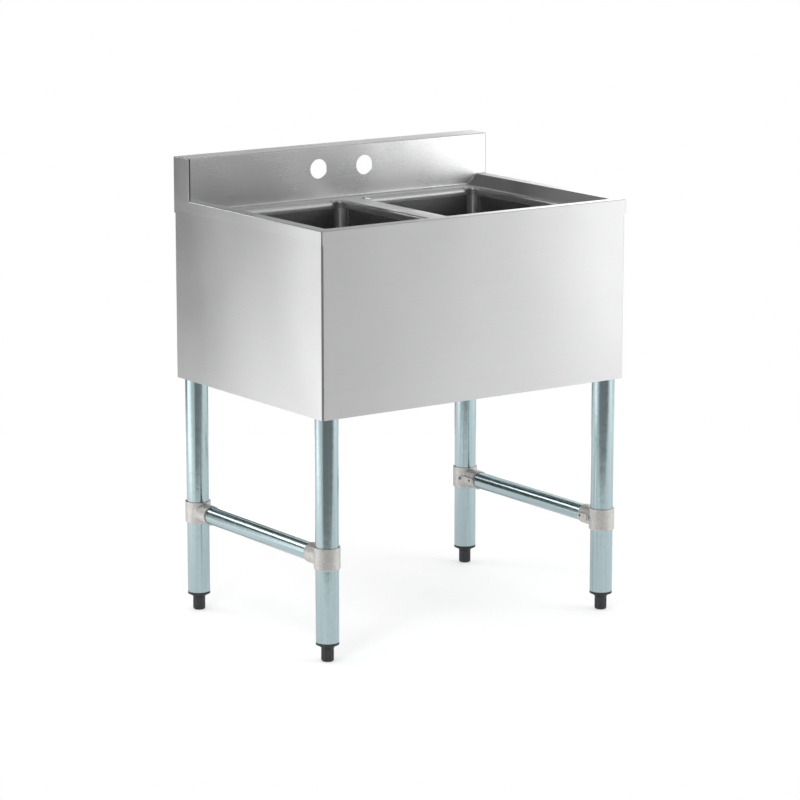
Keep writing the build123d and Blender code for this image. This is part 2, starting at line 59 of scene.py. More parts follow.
def box_of(node):
    """The low corner, the high corner and the middle of a solid piece."""
    low, high = (Vector(point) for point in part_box(node))
    return low, high, (low + high) / 2


sheet = 0.0012
rim_top = box_of("sink_top")[1].z
deck_top = box_of("backsplash")[0].z + sheet
splash_top = box_of("backsplash")[1].z
drain = box_of("right_strainer_body")[2]

# %% [markdown]
# ## Camera
#
# The photograph was taken from the front left, a little above the rim, from far away with a
# long lens, so lines that are parallel on the sink stay nearly parallel in the picture. A turn, a
# tilt and a distance say all of that, and they are easier to adjust than a location and three
# angles. The camera's axes follow from them.

# %% Camera
view_turn = math.radians(-35.11)
view_tilt = math.radians(11.68)
view_distance = 6.1787
view_centre = Vector((0.0, 0.0, 0.400))
nudge_right = -0.0003
nudge_up = -0.0075

back = Vector((
    math.sin(view_turn) * math.cos(view_tilt),
    -math.cos(view_turn) * math.cos(view_tilt),
    math.sin(view_tilt),
))
right = Vector((math.cos(view_turn), math.sin(view_turn), 0.0))
up = back.cross(right)
camera_place = view_centre + right * nudge_right + up * nudge_up + back * view_distance

camera_data = bpy.data.cameras.new("photo_camera")
camera_data.sensor_width = 36.0
camera_data.lens = 152.8
camera_data.clip_end = 60.0
camera = bpy.data.objects.new("photo_camera", camera_data)
bpy.context.scene.collection.objects.link(camera)
axes = Matrix((right, up, back)).transposed().to_4x4()
camera.matrix_world = Matrix.Translation(camera_place) @ axes
bpy.context.scene.camera = camera
bpy.context.scene.view_settings.view_transform = "Standard"
print("camera", [round(v, 3) for v in camera_place], "lens", camera_data.lens, "mm")

# %% [markdown]
# ## Helpers for node trees
#
# The studio, every finish and every repeated shape below is a small network of nodes. A few
# helpers keep those cells short: they add a node, do a sum, or start a material or a group. A
# number that is the same all over a surface is written on the shader's own socket.

# %% Helpers for node trees
def feed(tree, socket, value):
    """Links an input to another node's output, or sets it to a plain value."""
    if hasattr(value, "links"):
        tree.links.new(value, socket)
    else:
        socket.default_value = value


def add(tree, kind, inputs=(), **settings):
    """Adds a node. Settings are its fields, inputs are (name or number, value) pairs."""
    node = tree.nodes.new(kind)
    for name, value in settings.items():
        setattr(node, name, value)
    for name, value in inputs:
        feed(tree, node.inputs[name], value)
    return node


def combine(tree, operation, *values):
    """Math on one or two values, each an output of a node or a number."""
    return add(tree, "ShaderNodeMath", enumerate(values), operation=operation).outputs[0]


def weigh(tree, *pairs):
    """Adds up several values, each times its share, from (value, share) pairs."""
    parts = [combine(tree, "MULTIPLY", value, share) for value, share in pairs]
    total = parts[0]
    for part in parts[1:]:
        total = combine(tree, "ADD", total, part)
    return total


def start_material(name, colour, roughness, metallic=1.0):
    """A material with its shader. Returns the material, its tree and the shader."""
    made = bpy.data.materials.new(name)
    made.use_nodes = True
    made.diffuse_color = (*colour, 1.0)
    tree = made.node_tree
    shader = tree.nodes["Principled BSDF"]
    shader.inputs["Base Color"].default_value = (*colour, 1.0)
    shader.inputs["Roughness"].default_value = roughness
    shader.inputs["Metallic"].default_value = metallic
    return made, tree, shader


def group_with(name, inputs, outputs, kind="ShaderNodeTree"):
    """A node group. Its inputs and outputs are given as the kind of each socket, by name."""
    tree = bpy.data.node_groups.new(name, kind)
    for way, sockets in (("INPUT", inputs), ("OUTPUT", outputs)):
        for label, form in sockets.items():
            tree.interface.new_socket(label, in_out=way, socket_type="NodeSocket" + form)
    return tree, tree.nodes.new("NodeGroupInput"), tree.nodes.new("NodeGroupOutput")


print("node helpers ready")

# %% [markdown]
# ## Studio
#
# The photograph has a white background and hardly any shadow, and the metal in it mirrors the
# room round it. A flat sheet mirrors one direction only, so each side of the sink is as light as
# what stands there. The front and the splash mirror the front right, low down. The left panel
# mirrors the rear left, and the rim mirrors the rear right, a little above the horizon. So the
# sink stands on white paper in a round room of plain greys: light on the right, above all high
# up, and dark behind and on the camera's side. The camera itself sees plain white.

# %% World
world = bpy.data.worlds.new("studio_air")
bpy.context.scene.world = world
world.use_nodes = True
air = world.node_tree
air.nodes.clear()
rays = add(air, "ShaderNodeLightPath").outputs
seen = combine(air, "MAXIMUM", rays["Is Camera Ray"], rays["Is Glossy Ray"])
seen = combine(air, "MAXIMUM", seen, rays["Is Transmission Ray"])
ambient = add(air, "ShaderNodeBackground", [("Color", (0.55, 0.55, 0.55, 1.0))])
white = add(air, "ShaderNodeBackground", [("Color", (1.0, 1.0, 1.0, 1.0))])
either = add(
    air, "ShaderNodeMixShader", [(0, seen), (1, ambient.outputs[0]), (2, white.outputs[0])]
)
add(air, "ShaderNodeOutputWorld", [("Surface", either.outputs[0])])
print("world ready")


# %% Paper and walls of the studio
def piece_from(name, points, faces=(), edges=()):
    """A mesh object from plain lists."""
    mesh = bpy.data.meshes.new(name)
    mesh.from_pydata(points, edges, faces)
    made = bpy.data.objects.new(name, mesh)
    bpy.context.scene.collection.objects.link(made)
    return made


def stage_mesh(name, points, faces):
    """A mesh that belongs to the studio and not to the sink."""
    made = piece_from(name, points, faces)
    return made


paper_drop = 0.0004
paper_corners = ((-1.9, 1.0), (2.9, 1.0), (2.9, -1.5), (-1.9, -1.5))
towards = Vector((back.x, back.y, 0.0)).normalized()
sunk = Vector((0.0, 0.0, -paper_drop))
paper_points = [tuple(right * u + towards * v + sunk) for u, v in paper_corners]
paper = stage_mesh("studio_paper", paper_points, [(0, 1, 2, 3)])

room_radius = 2.7
room_heights = (-0.02, 1.25, 2.9)
room_steps = 96
half = room_steps // 2
quarter = room_steps // 4


def circle(radius, height, steps):
    """Points of a level circle round the sink."""
    turns = [2 * math.pi * step / steps for step in range(steps)]
    return [(radius * math.cos(turn), radius * math.sin(turn), height) for turn in turns]


def round_walls(name, low_ring, high_ring, greys):
    """Walls between two rings, and their greys, from (start, end, grey) in degrees from +X."""
    made = []
    for number, (start, end, grey) in enumerate(greys):
        first, last = (round((turn + 360) / 360 * room_steps) for turn in (start, end))
        faces = []
        for step in range(first, last):
            here, after = step % room_steps, (step + 1) % room_steps
            faces.append((here, after, room_steps + after, room_steps + here))
        wall = stage_mesh(f"{name}_{number}", low_ring + high_ring, faces)
        made.append((wall, grey))
    return made


def half_ceiling(name, ring, first):
    """Half of the ceiling, from one step of the ring on round."""
    points = [ring[step % room_steps] for step in range(first, first + half + 1)]
    return stage_mesh(name, points, [range(half + 1)])


floor_ring, middle_ring, top_ring = (
    circle(room_radius, height, room_steps) for height in room_heights
)
low_greys = (
    (-180, -75, 0.18),
    (-75, -30, 0.63),
    (-30, 60, 0.40),
    (60, 145, 0.06),
    (145, 180, 0.32),
)
high_greys = ((-180, -65, 0.04), (-65, -50, 0.62), (-50, 50, 1.05), (50, 180, 0.06))
boards = round_walls("studio_low_wall", floor_ring, middle_ring, low_greys)
boards += round_walls("studio_high_wall", middle_ring, top_ring, high_greys)
boards += [
    (half_ceiling("studio_right_ceiling", top_ring, -quarter), 0.46),
    (half_ceiling("studio_left_ceiling", top_ring, quarter), 0.08),
    (stage_mesh("studio_ground", floor_ring, [range(room_steps)]), 0.27),
]
print(len(boards), "boards of a room of", room_radius, "m in radius")


# %% [markdown]
# ### Paints of the studio
#
# The walls are plain greys that glow, because only their reflections count. The paper is white
# and keeps the soft shadow. It glows fully for the camera and partly in the metal, so it stays
# white where the lamps don't reach. From below it is clear, so it doesn't hide the sink.

# %% Paints of the studio
def glowing(name, grey):
    """A plain grey that only reflections see."""
    made, tree, shader = start_material(name, (0.0, 0.0, 0.0), 1.0, 0.0)
    shader.inputs["Specular IOR Level"].default_value = 0.0
    shader.inputs["Emission Color"].default_value = (grey, grey, grey, 1.0)
    shader.inputs["Emission Strength"].default_value = 1.0
    return made


for board, grey in boards:
    board.data.materials.append(glowing(board.name + "_grey", grey))
    board.visible_camera = False
    board.visible_diffuse = False
    board.visible_shadow = False
    board.visible_transmission = False

paper_white = (0.80, 0.80, 0.80)
paper_glow = 0.45
mirrored_share = 0.65
paper_paint, tree, shader = start_material("paper", paper_white, 0.9, 0.0)
shader.inputs["Specular IOR Level"].default_value = 0.0
shader.inputs["Emission Color"].default_value = (1.0, 1.0, 1.0, 1.0)
rays = add(tree, "ShaderNodeLightPath").outputs
seen = combine(tree, "MAXIMUM", rays["Is Camera Ray"], rays["Is Transmission Ray"])
in_metal = combine(tree, "MULTIPLY", rays["Is Glossy Ray"], mirrored_share)
seen = combine(tree, "MAXIMUM", seen, in_metal)
feed(tree, shader.inputs["Emission Strength"], combine(tree, "MULTIPLY", seen, paper_glow))
from_below = add(tree, "ShaderNodeNewGeometry").outputs["Backfacing"]
clear = add(tree, "ShaderNodeBsdfTransparent")
either = add(
    tree, "ShaderNodeMixShader", [(0, from_below), (1, shader.outputs[0]), (2, clear.outputs[0])]
)
feed(tree, tree.nodes["Material Output"].inputs["Surface"], either.outputs[0])
paper.data.materials.append(paper_paint)
print("paints ready")


# %% [markdown]
# ### Lamps
#
# Two rows of softboxes light the sink. The long row on the right is brightest at its front, where
# the front panel and the splash mirror it, and a shorter row on the left lights the side panel.
# Four single softboxes light the upper edges and the bowls. A lamp is given by its radiance,
# which is the grey that a mirror would show.

# %% Lamps
def soft_lamp(name, place, aim, size, radiance):
    """A rectangular softbox that faces a point."""
    data = bpy.data.lights.new(name, "AREA")
    data.shape = "RECTANGLE"
    data.size, data.size_y = size
    data.energy = radiance * math.pi * size[0] * size[1]
    lamp = bpy.data.objects.new(name, data)
    lamp.location = place
    lamp.rotation_euler = (Vector(aim) - Vector(place)).to_track_quat("-Z", "Y").to_euler()
    lamp.visible_camera = False
    bpy.context.scene.collection.objects.link(lamp)


def lamp_row(name, x, heights, tall, lamps):
    """Softboxes side by side at one x: (start y, end y, a radiance for each height)."""
    for number, (start, end, *powers) in enumerate(lamps):
        middle = (start + end) / 2
        for height, power in zip(heights, powers):
            place, aim = (x, middle, height), (0.0, middle, height)
            soft_lamp(f"{name}_{number}", place, aim, (end - start, tall), power)


right_lamps = (
    (-3.2, -2.5, 0.33, 0.33),
    (-2.5, -2.2, 1.03, 1.03),
    (-2.2, -1.9, 1.55, 1.55),
    (-1.9, -1.5, 1.14, 1.55),
    (-1.5, -0.9, 0.68, 1.50),
    (-0.9, 3.0, 0.38, 0.38),
)
left_lamps = ((-0.5, 0.3, 0.53), (0.3, 0.7, 1.17), (0.7, 1.4, 1.6), (1.4, 1.7, 0.78))
lamp_row("right_lamp", x=1.7, heights=(0.375, 1.225), tall=0.85, lamps=right_lamps)
lamp_row("left_lamp", x=-1.35, heights=(0.34,), tall=0.8, lamps=left_lamps)
soft_lamp("front_right_high", (2.15, -2.23, 1.5), (0.0, 0.0, 0.80), (2.3, 1.4), 0.56)
soft_lamp("rear_right_high", (1.5, 1.9, 1.45), (0.0, 0.0, 0.90), (1.8, 0.7), 0.87)
soft_lamp("front_left_strip", (-1.7, -1.06, 2.35), (0.0, 0.0, 0.60), (0.45, 1.0), 7.0)
soft_lamp("rear_left_low", (-1.0, 1.8, 1.5), (0.0, 0.0, 0.76), (0.8, 0.5), 3.4)
print(len(bpy.data.lights), "lamps")

# %% [markdown]
# ## Surface effects shared by several finishes
#
# Real metal is never one even colour. Brushing leaves fine lines that run along the sheet, hands
# and rain leave soft patches, rolling leaves the sheet a little wavy, zinc dries in streaks, and
# a sand mould leaves grains. Each of these is built once, as a small group of nodes with named
# inputs, and every finish places the ones it needs with its own sizes. All of them read the
# object's own coordinates in metres, so a pattern stays where it is from every side.

# %% Noise and ranges
def noise(tree, vector, scale, detail, roughness=0.55):
    """A cloudy value between about 0.2 and 0.8."""
    inputs = [("Vector", vector), ("Scale", scale), ("Detail", detail), ("Roughness", roughness)]
    return add(tree, "ShaderNodeTexNoise", inputs).outputs[0]


def spread(tree, value, low, high, to_low=0.0, to_high=1.0):
    """Stretches the part of a value between low and high over a new range, and clamps it."""
    limits = {"From Min": low, "From Max": high, "To Min": to_low, "To Max": to_high}
    inputs = [("Value", value), *limits.items()]
    return add(tree, "ShaderNodeMapRange", inputs, clamp=True).outputs[0]


def stretch(tree, place, factors):
    """Multiplies a place by a factor of its own on each axis."""
    inputs = [(0, place), (1, factors)]
    return add(tree, "ShaderNodeVectorMath", inputs, operation="MULTIPLY").outputs[0]


def send(tree, outlet, **values):
    """Links a group's outputs, by name."""
    for name, value in values.items():
        tree.links.new(value, outlet.inputs[name.title()])


def place_group(tree, group, **values):
    """Puts a shared effect in a material. Values are sockets, numbers or vectors by input name."""
    inputs = [(name.replace("_", " ").title(), value) for name, value in values.items()]
    return add(tree, "ShaderNodeGroup", inputs, node_tree=group)


print("effect helpers ready")

# %% [markdown]
# ### Brushed lines
#
# A brushed sheet is covered in fine parallel scratches. Noise gives them when its coordinates are
# squeezed hard across the brushing and hardly at all along it. The lines run along X on the faces
# that look forwards, backwards or up, and along Y on the ends of the sink, so the group picks one
# of two directions from the way that the face looks. It also tells which faces look sideways, and
# where an upright corner bends from one direction to the other.

# %% Brushed lines
brushed_lines, inlet, outlet = group_with(
    "brushed_lines",
    {"Vector": "Vector", "Length": "Float", "Width": "Float"},
    {"Lines": "Float", "Sideways": "Float", "Bends": "Float"},
)
along = combine(brushed_lines, "DIVIDE", 1.0, inlet.outputs["Length"])
across = combine(brushed_lines, "DIVIDE", 1.0, inlet.outputs["Width"])
normal = add(brushed_lines, "ShaderNodeNewGeometry").outputs["Normal"]
facing = add(brushed_lines, "ShaderNodeSeparateXYZ", [(0, normal)]).outputs
sideways = spread(brushed_lines, combine(brushed_lines, "ABSOLUTE", facing[0]), 0.6, 0.8)
lines = []
for order in ((along, across, across), (across, along, across)):
    squeeze = add(brushed_lines, "ShaderNodeCombineXYZ", enumerate(order)).outputs[0]
    squeezed = stretch(brushed_lines, inlet.outputs["Vector"], squeeze)
    lines.append(noise(brushed_lines, squeezed, 1.0, 2.0))
chosen = add(brushed_lines, "ShaderNodeMix", [(0, sideways), (2, lines[0]), (3, lines[1])])
turned = combine(brushed_lines, "MULTIPLY", facing[0], facing[1])
bends = combine(brushed_lines, "ABSOLUTE", turned)
send(brushed_lines, outlet, lines=chosen.outputs[0], sideways=sideways, bends=bends)
print("brushed_lines has", len(brushed_lines.nodes), "nodes")

# %% [markdown]
# ### Soft patches, waves and turned rings
#
# Patches are broad and blurred: they stand for wiped marks and slight differences in polish.
# Waves are broader still and only bend the surface, as thin sheet does once it is folded and
# welded. Rings go round an axis, for pieces that were turned or polished on a lathe.

# %% Soft patches
soft_patches, inlet, outlet = group_with(
    "soft_patches",
    {"Vector": "Vector", "Size": "Float"},
    {"Patches": "Float", "Waves": "Float"},
)
wave_scale = 0.45
scale = combine(soft_patches, "DIVIDE", 1.0, inlet.outputs["Size"])
blots = noise(soft_patches, inlet.outputs["Vector"], scale, 4.0, 0.6)
broader = combine(soft_patches, "MULTIPLY", scale, wave_scale)
swell = noise(soft_patches, inlet.outputs["Vector"], broader, 1.0, 0.3)
send(soft_patches, outlet, patches=spread(soft_patches, blots, 0.3, 0.7), waves=swell)
print("soft_patches has", len(soft_patches.nodes), "nodes")

# %% Turned rings
turned_rings, inlet, outlet = group_with(
    "turned_rings",
    {"Vector": "Vector", "Axis X": "Float", "Axis Y": "Float", "Width": "Float"},
    {"Rings": "Float"},
)
parts = add(turned_rings, "ShaderNodeSeparateXYZ", [(0, inlet.outputs["Vector"])]).outputs
either_side = combine(turned_rings, "ABSOLUTE", parts[0])
from_x = combine(turned_rings, "SUBTRACT", either_side, inlet.outputs["Axis X"])
from_y = combine(turned_rings, "SUBTRACT", parts[1], inlet.outputs["Axis Y"])
squares = weigh(turned_rings, (from_x, from_x), (from_y, from_y))
reach = combine(turned_rings, "SQRT", squares)
profile = add(turned_rings, "ShaderNodeCombineXYZ", [(0, reach), (2, parts[2])]).outputs[0]
fineness = combine(turned_rings, "DIVIDE", 1.0, inlet.outputs["Width"])
send(turned_rings, outlet, rings=noise(turned_rings, profile, fineness, 2.0))
print("turned_rings has", len(turned_rings.nodes), "nodes")

# %% [markdown]
# ### Zinc and castings
#
# Zinc goes on wet and dries in long pale streaks down the tube, with a fine cloudiness between
# them. A sand casting is covered in grains about half a millimetre across, with a few pits that
# hold dirt.

# %% Zinc skin
zinc_skin, inlet, outlet = group_with(
    "zinc_skin",
    {"Vector": "Vector", "Squeeze": "Vector", "Cloud Size": "Float"},
    {"Streaks": "Float", "Clouds": "Float", "Crystals": "Float"},
)
squeezed = stretch(zinc_skin, inlet.outputs["Vector"], inlet.outputs["Squeeze"])
streaks = noise(zinc_skin, squeezed, 1.0, 3.0, 0.6)
scale = combine(zinc_skin, "DIVIDE", 1.0, inlet.outputs["Cloud Size"])
clouds = noise(zinc_skin, inlet.outputs["Vector"], scale, 4.0, 0.65)
cells = add(
    zinc_skin, "ShaderNodeTexVoronoi", [("Vector", inlet.outputs["Vector"]), ("Scale", scale)]
)
shades = add(zinc_skin, "ShaderNodeSeparateColor", [(0, cells.outputs["Color"])])
send(
    zinc_skin,
    outlet,
    streaks=spread(zinc_skin, streaks, 0.32, 0.68),
    clouds=spread(zinc_skin, clouds, 0.3, 0.7),
    crystals=shades.outputs[0],
)
print("zinc_skin has", len(zinc_skin.nodes), "nodes")

# %% Cast grains
cast_grains, inlet, outlet = group_with(
    "cast_grains",
    {"Vector": "Vector", "Grain Size": "Float"},
    {"Height": "Float", "Pits": "Float"},
)
lump_scale = 0.22
scale = combine(cast_grains, "DIVIDE", 1.0, inlet.outputs["Grain Size"])
coarser = combine(cast_grains, "MULTIPLY", scale, lump_scale)
fine = noise(cast_grains, inlet.outputs["Vector"], scale, 2.0, 0.6)
coarse = noise(cast_grains, inlet.outputs["Vector"], coarser, 3.0, 0.6)
both = combine(cast_grains, "MULTIPLY", combine(cast_grains, "ADD", fine, coarse), 0.5)
send(cast_grains, outlet, height=both, pits=spread(cast_grains, both, 0.50, 0.36))
print("cast_grains has", len(cast_grains.nodes), "nodes")

# %% [markdown]
# ## Finishes
#
# A finish is a shader whose colour, roughness and small relief are driven by the effects above.
# This helper wires the same three things each time: a mask that blends a darker and a lighter
# colour, a mask that sets how dull the surface is, and a height that tilts it.

# %% Helpers that wire a finish
def blend(tree, mask, first, second):
    """A colour that goes from the first to the second as the mask rises."""
    inputs = [(0, mask), (6, first), (7, second)]
    return add(tree, "ShaderNodeMix", inputs, data_type="RGBA").outputs[2]


def wire(tree, shader, colours, colour_mask, dullness, dull_mask, height, relief):
    """Blends two colours, sets the roughness range, and adds relief in metres."""
    low, high = ((*colour, 1.0) for colour in colours)
    bump = add(tree, "ShaderNodeBump", [("Height", height), ("Distance", relief)])
    feed(tree, shader.inputs["Base Color"], blend(tree, colour_mask, low, high))
    feed(tree, shader.inputs["Roughness"], spread(tree, dull_mask, 0.0, 1.0, *dullness))
    feed(tree, shader.inputs["Normal"], bump.outputs[0])


def tint(tree, shader, mask, colour):
    """Turns a wired surface to another colour where the mask is 1."""
    socket = shader.inputs["Base Color"]
    plain = socket.links[0].from_socket
    feed(tree, socket, blend(tree, mask, plain, (*colour, 1.0)))


def own_place(tree):
    """The object's own coordinates in metres."""
    return add(tree, "ShaderNodeTexCoord").outputs["Object"]


def coordinate(tree, place, axis):
    """One of a place's coordinates, "X", "Y" or "Z"."""
    return add(tree, "ShaderNodeSeparateXYZ", [(0, place)]).outputs["XYZ".index(axis)]


finishes = {}
print("finish helpers ready")

# %% [markdown]
# ### Stainless sheet
#
# The panels, the rim and the splash are one gauge of sheet with a satin polish. Its brushing runs
# sideways, so light that falls on it spreads up and down: that is what the anisotropy does. Some
# places need more, so the recipe has extras. A fold leans: the skirt stands out a little from
# its panel and the splash leans back, so they mirror another height of the room. A painted shadow
# darkens a thin strip down the splash where it meets the left end plate. The drawn bowls are
# smoother, so their walls mirror the dark of the bowl, and their colour, darker than the sheet's,
# is painted shade. Their corners are rougher, and the paler colour there is a painted highlight.

# %% Recipe for satin steel
quarter_turn = 0.25
fine_length, broad_length, broad_width = 0.10, 0.5, 9
fine_share, patch_share = 0.9, 0.65
scratch_height = 0.006
sheet_relief = 0.0022
# Width and colour of the painted shadow down the splash beside its left end plate.
seam_shadow_width = 0.0004
seam_shadow_colour = (0.06, 0.06, 0.06)
# The colour of the painted highlight on the bowls' upright corners.
corner_highlight_colour = (0.85, 0.852, 0.857)
corner_dulling = 1.5


def satin_steel(name, colours, dullness, width, patch_size, anisotropy, brushed_along_x=False,
                fold=None, seam_shadow=None, highlit_rough_corners=False):
    """Brushed sheet. A fold is (low z, high z, rise, shares): the relief rises between the two
    heights, with one share of the rise for faces to the front and one for faces to the side.
    A seam shadow is painted shade in a thin dark strip, given by its distance to the left of the
    middle."""
    made, tree, shader = start_material(name, colours[1], dullness[0])
    shader.inputs["Anisotropic"].default_value = anisotropy
    if brushed_along_x:
        grain_way = add(tree, "ShaderNodeTangent", direction_type="RADIAL", axis="X")
        feed(tree, shader.inputs["Tangent"], grain_way.outputs[0])
    else:
        shader.inputs["Anisotropic Rotation"].default_value = quarter_turn
    place = own_place(tree)
    fine = place_group(tree, brushed_lines, vector=place, length=fine_length, width=width)
    broad = place_group(
        tree, brushed_lines, vector=place, length=broad_length, width=width * broad_width
    )
    wiped = place_group(tree, soft_patches, vector=place, size=patch_size)
    lines = fine.outputs["Lines"]
    grain = weigh(tree, (lines, fine_share), (broad.outputs["Lines"], 1.0 - fine_share))
    colour_mask = spread(tree, grain, 0.25, 0.75)
    patches = wiped.outputs["Patches"]
    dull_mask = weigh(tree, (patches, patch_share), (colour_mask, 1.0 - patch_share))
    height = weigh(tree, (wiped.outputs["Waves"], 1.0), (lines, scratch_height))
    if fold:
        low, high, rise, shares = fold
        share = spread(tree, fine.outputs["Sideways"], 0.0, 1.0, *shares)
        risen = spread(tree, coordinate(tree, place, "Z"), low, high, 0.0, rise)
        height = combine(tree, "ADD", height, combine(tree, "MULTIPLY", share, risen))
    if highlit_rough_corners:
        bend = spread(tree, fine.outputs["Bends"], 0.10, 0.42)
        dull_mask = weigh(tree, (dull_mask, 0.5), (bend, corner_dulling))
        dullness = (dullness[0], 2 * dullness[1] - dullness[0])
    wire(tree, shader, colours, colour_mask, dullness, dull_mask, height, sheet_relief)
    # Painted highlight: the bowls' colour turns paler where their upright corners bend.
    if highlit_rough_corners:
        tint(tree, shader, bend, corner_highlight_colour)
    # Painted shadow: a thin dark strip down the splash beside the left end plate.
    if seam_shadow:
        in_seam_shadow = spread(tree, coordinate(tree, place, "X"), seam_shadow_width - seam_shadow, -seam_shadow)
        tint(tree, shader, in_seam_shadow, seam_shadow_colour)
    return made


print("recipe ready")

# %% Stainless sheet and bowl steel
skirt_lean = (rim_top - 0.0205, rim_top - 0.0015, 0.9, (0.1, 1.0))
splash_lean = (deck_top + 0.003, splash_top, -1.6, (1.0, 0.0))
splash_seam_shadow = 0.3268
finishes["stainless_sheet"] = satin_steel(
    "stainless_sheet",
    colours=((0.645, 0.647, 0.652), (0.68, 0.682, 0.687)),
    dullness=(0.29, 0.36),
    width=0.0008,
    patch_size=0.11,
    anisotropy=0.6,
    fold=skirt_lean,
)
splash_sheet = satin_steel(
    "stainless_splash",
    colours=((0.64, 0.642, 0.647), (0.70, 0.702, 0.707)),
    dullness=(0.25, 0.31),
    width=0.0008,
    patch_size=0.07,
    anisotropy=0.8,
    brushed_along_x=True,
    fold=splash_lean,
    seam_shadow=splash_seam_shadow,
)
# Painted shade: the bowl steel is darker in colour than the sheet, for the shaded insides of the
# bowls.
finishes["bowl_steel"] = satin_steel(
    "bowl_steel",
    colours=((0.445, 0.447, 0.451), (0.495, 0.497, 0.501)),
    dullness=(0.215, 0.245),
    width=0.0007,
    patch_size=0.09,
    anisotropy=0.88,
    highlit_rough_corners=True,
)
print("satin steel ready")

# %% [markdown]
# ### Galvanised tube and sheet
#
# The legs and braces are tube with a thin bright zinc coat, slightly blue, so they mirror the
# studio in narrow upright bands. The streaks run along each tube: upright on the legs, level on
# the braces, so the braces get a finish of their own from the same recipe. The rails and sockets
# under the bowls are thicker, duller zinc with its crystals showing.

# %% Galvanised tube and sheet
zinc_relief = 0.00006


def zinc_coat(name, colours, dullness, squeeze, cloud_size, crystal_share):
    """A zinc skin. The squeeze is how many times finer the streaks are on each axis."""
    made, tree, shader = start_material(name, colours[1], dullness[0])
    place = own_place(tree)
    skin = place_group(tree, zinc_skin, vector=place, squeeze=squeeze, cloud_size=cloud_size)
    streaks, clouds, crystals = skin.outputs
    colour_mask = weigh(tree, (crystals, crystal_share), (streaks, 1.0 - crystal_share))
    ripple = combine(tree, "ADD", streaks, clouds)
    wire(tree, shader, colours, colour_mask, dullness, clouds, ripple, zinc_relief)
    return made


tube_coat = {
    "colours": ((0.415, 0.525, 0.548), (0.50, 0.622, 0.645)),
    "dullness": (0.14, 0.24),
    "cloud_size": 0.012,
    "crystal_share": 0.1,
}
finishes["galvanised_tube"] = zinc_coat(
    "galvanised_tube", squeeze=(260.0, 260.0, 2.5), **tube_coat
)
level_tube = zinc_coat("galvanised_tube_level", squeeze=(260.0, 2.5, 260.0), **tube_coat)
finishes["galvanised_sheet"] = zinc_coat(
    "galvanised_sheet",
    colours=((0.47, 0.50, 0.52), (0.66, 0.69, 0.71)),
    dullness=(0.32, 0.52),
    squeeze=(40.0, 8.0, 40.0),
    cloud_size=0.014,
    crystal_share=0.75,
)
print("zinc ready")

# %% [markdown]
# ### Cast clamps and the lock nuts
#
# The clamps that join the braces to the legs are cast aluminium alloy, left as it came from the
# mould: pale, a little warm and grainy, with dirt in the pits. The big lock nuts under the bowls
# are die cast, finer and greyer.

# %% Castings
def casting(name, colours, dullness, grain_size, relief):
    """Cast metal, darker in its pits and in its soiled patches."""
    made, tree, shader = start_material(name, colours[1], dullness[0])
    place = own_place(tree)
    grains = place_group(tree, cast_grains, vector=place, grain_size=grain_size)
    wiped = place_group(tree, soft_patches, vector=place, size=0.03)
    clean = combine(tree, "SUBTRACT", 1.0, grains.outputs["Pits"])
    soiled = spread(tree, wiped.outputs["Patches"], 0.0, 1.0, 0.7, 1.0)
    colour_mask = combine(tree, "MULTIPLY", clean, soiled)
    wire(tree, shader, colours, colour_mask, dullness, clean, grains.outputs["Height"], relief)
    return made


finishes["cast_clamp"] = casting(
    "cast_clamp",
    colours=((0.55, 0.535, 0.515), (0.74, 0.725, 0.70)),
    dullness=(0.60, 0.48),
    grain_size=0.0010,
    relief=0.0004,
)
finishes["die_cast_nut"] = casting(
    "die_cast_nut",
    colours=((0.38, 0.38, 0.39), (0.58, 0.58, 0.59)),
    dullness=(0.55, 0.38),
    grain_size=0.0006,
    relief=0.0001,
)
print("castings ready")

# %% [markdown]
# ### Turned steel, plastic, rubber and fibre
#
# The strainers and their baskets are thin polished steel with the rings of the lathe. Screws are
# plated and dark in their sockets. The feet are black nylon with a fine moulded grain that is
# scuffed paler where it rubs, the gaskets are matt rubber, and the washers are pressed fibre.

# %% Turned steel
ring_relief = 0.00002


def turned_steel(name, colours, dullness, width):
    """Steel with rings round the axis of the drain."""
    made, tree, shader = start_material(name, colours[1], dullness[0])
    place = own_place(tree)
    turned = place_group(
        tree, turned_rings, vector=place, axis_x=drain.x, axis_y=drain.y, width=width
    )
    wiped = place_group(tree, soft_patches, vector=place, size=0.02)
    rings, patches = turned.outputs["Rings"], wiped.outputs["Patches"]
    colour_mask = spread(tree, rings, 0.3, 0.7)
    wire(tree, shader, colours, colour_mask, dullness, patches, rings, ring_relief)
    return made


finishes["strainer_steel"] = turned_steel(
    "strainer_steel",
    colours=((0.56, 0.56, 0.565), (0.66, 0.66, 0.665)),
    dullness=(0.16, 0.27),
    width=0.0005,
)
finishes["screw_steel"] = turned_steel(
    "screw_steel",
    colours=((0.22, 0.22, 0.225), (0.40, 0.40, 0.40)),
    dullness=(0.28, 0.42),
    width=0.0007,
)
print("turned steel ready")


# %% Plastic, rubber and fibre
def dull_stuff(name, colours, dullness, grain_size, relief, patch_size):
    """A moulded or pressed surface that is scuffed paler in specks."""
    made, tree, shader = start_material(name, colours[0], dullness[0], 0.0)
    place = own_place(tree)
    grains = place_group(tree, cast_grains, vector=place, grain_size=grain_size)
    wiped = place_group(tree, soft_patches, vector=place, size=patch_size)
    patches, height = wiped.outputs["Patches"], grains.outputs["Height"]
    scuffs = combine(tree, "POWER", patches, 2.0)
    specks = combine(tree, "MULTIPLY", scuffs, spread(tree, height, 0.4, 0.6))
    wire(tree, shader, colours, specks, dullness, patches, height, relief)
    return made


